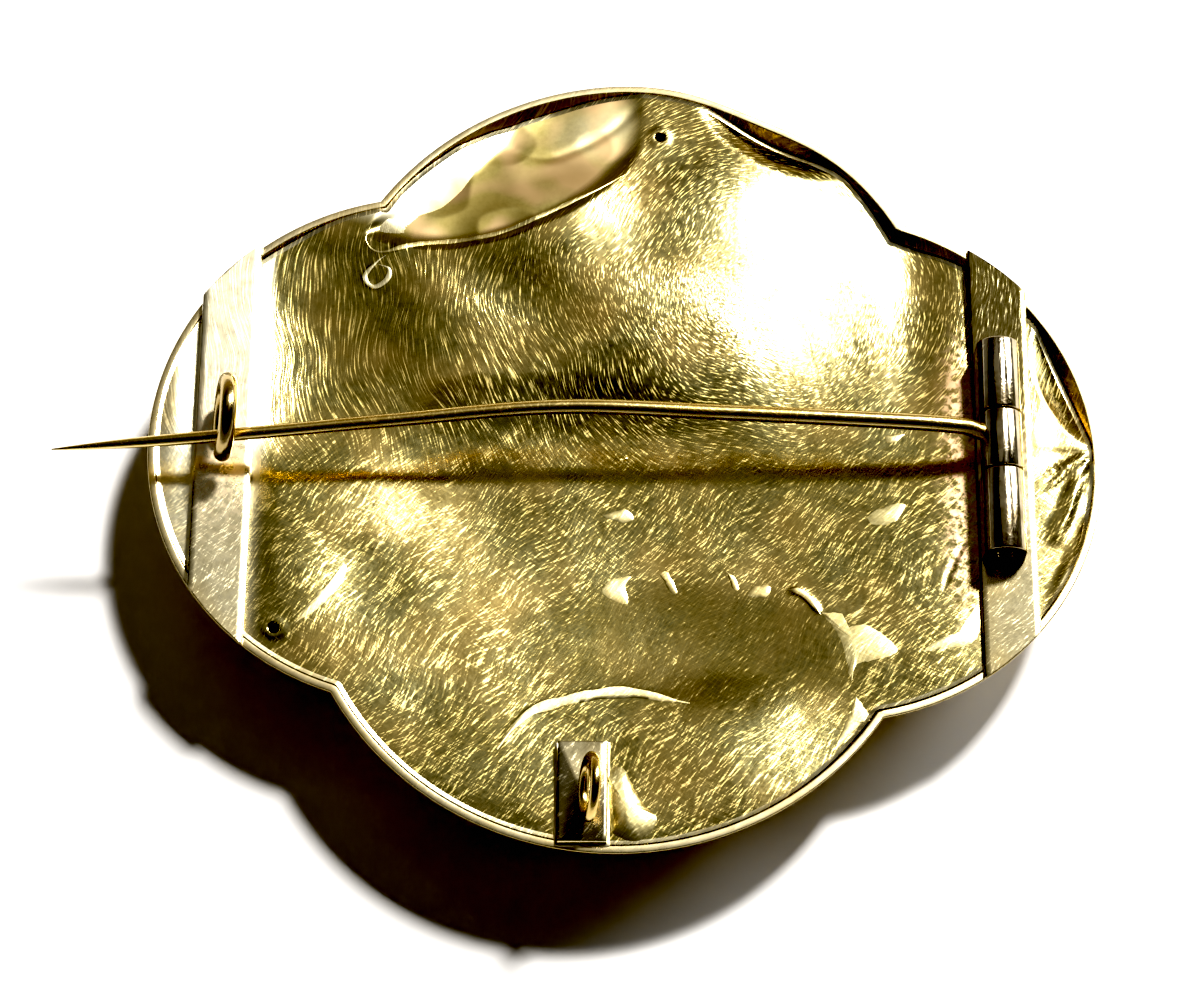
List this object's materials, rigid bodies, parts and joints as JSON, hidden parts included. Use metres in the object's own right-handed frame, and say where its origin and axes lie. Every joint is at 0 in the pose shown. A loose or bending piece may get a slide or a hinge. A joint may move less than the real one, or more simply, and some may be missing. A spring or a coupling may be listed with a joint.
{
  "type": "brooch",
  "caption": "Four-lobed hollow gold brooch: pressed front, thin vented back, C-catch, tube-hinged pin and a small loop for a safety chain.",
  "frame": {"origin": "on the flat reserve of the front, which the brooch rests on, under the middle of the outline", "axes": "+X along the pin from its point to its hinge, +Y across the back to the edge away from the chain loop, +Z out of the back, away from the front"},
  "size_m": [0.0548, 0.0436, 0.0115],
  "materials": {
    "body_gold": "polished",
    "back_gold": "worn and scratched",
    "strap_gold": "solder-stained satin",
    "fitting_gold": "worn satin",
    "pin_gold": "polished by use"
  },
  "bodies": {
    "brooch_body": {"front_shell": "body_gold", "front_border_wire": "body_gold", "side_wall": "body_gold", "back_plate": "back_gold", "catch_strap": "strap_gold", "hinge_strap": "strap_gold", "c_catch": "fitting_gold", "hinge_knuckle_lower": "fitting_gold", "hinge_knuckle_upper": "fitting_gold", "hinge_rivet": "fitting_gold", "loop_pad": "strap_gold", "pendant_loop": "fitting_gold"},
    "pin": {"pin_knuckle": "pin_gold", "pin_stem": "pin_gold"}
  },
  "joints": [
    {"name": "pin_swing", "type": "hinge", "parent": "brooch_body", "child": "pin", "pos_m": [0.01965, 0, 0.008], "axis": [0, 1, 0], "range_deg": [0, 120]}
  ]
}
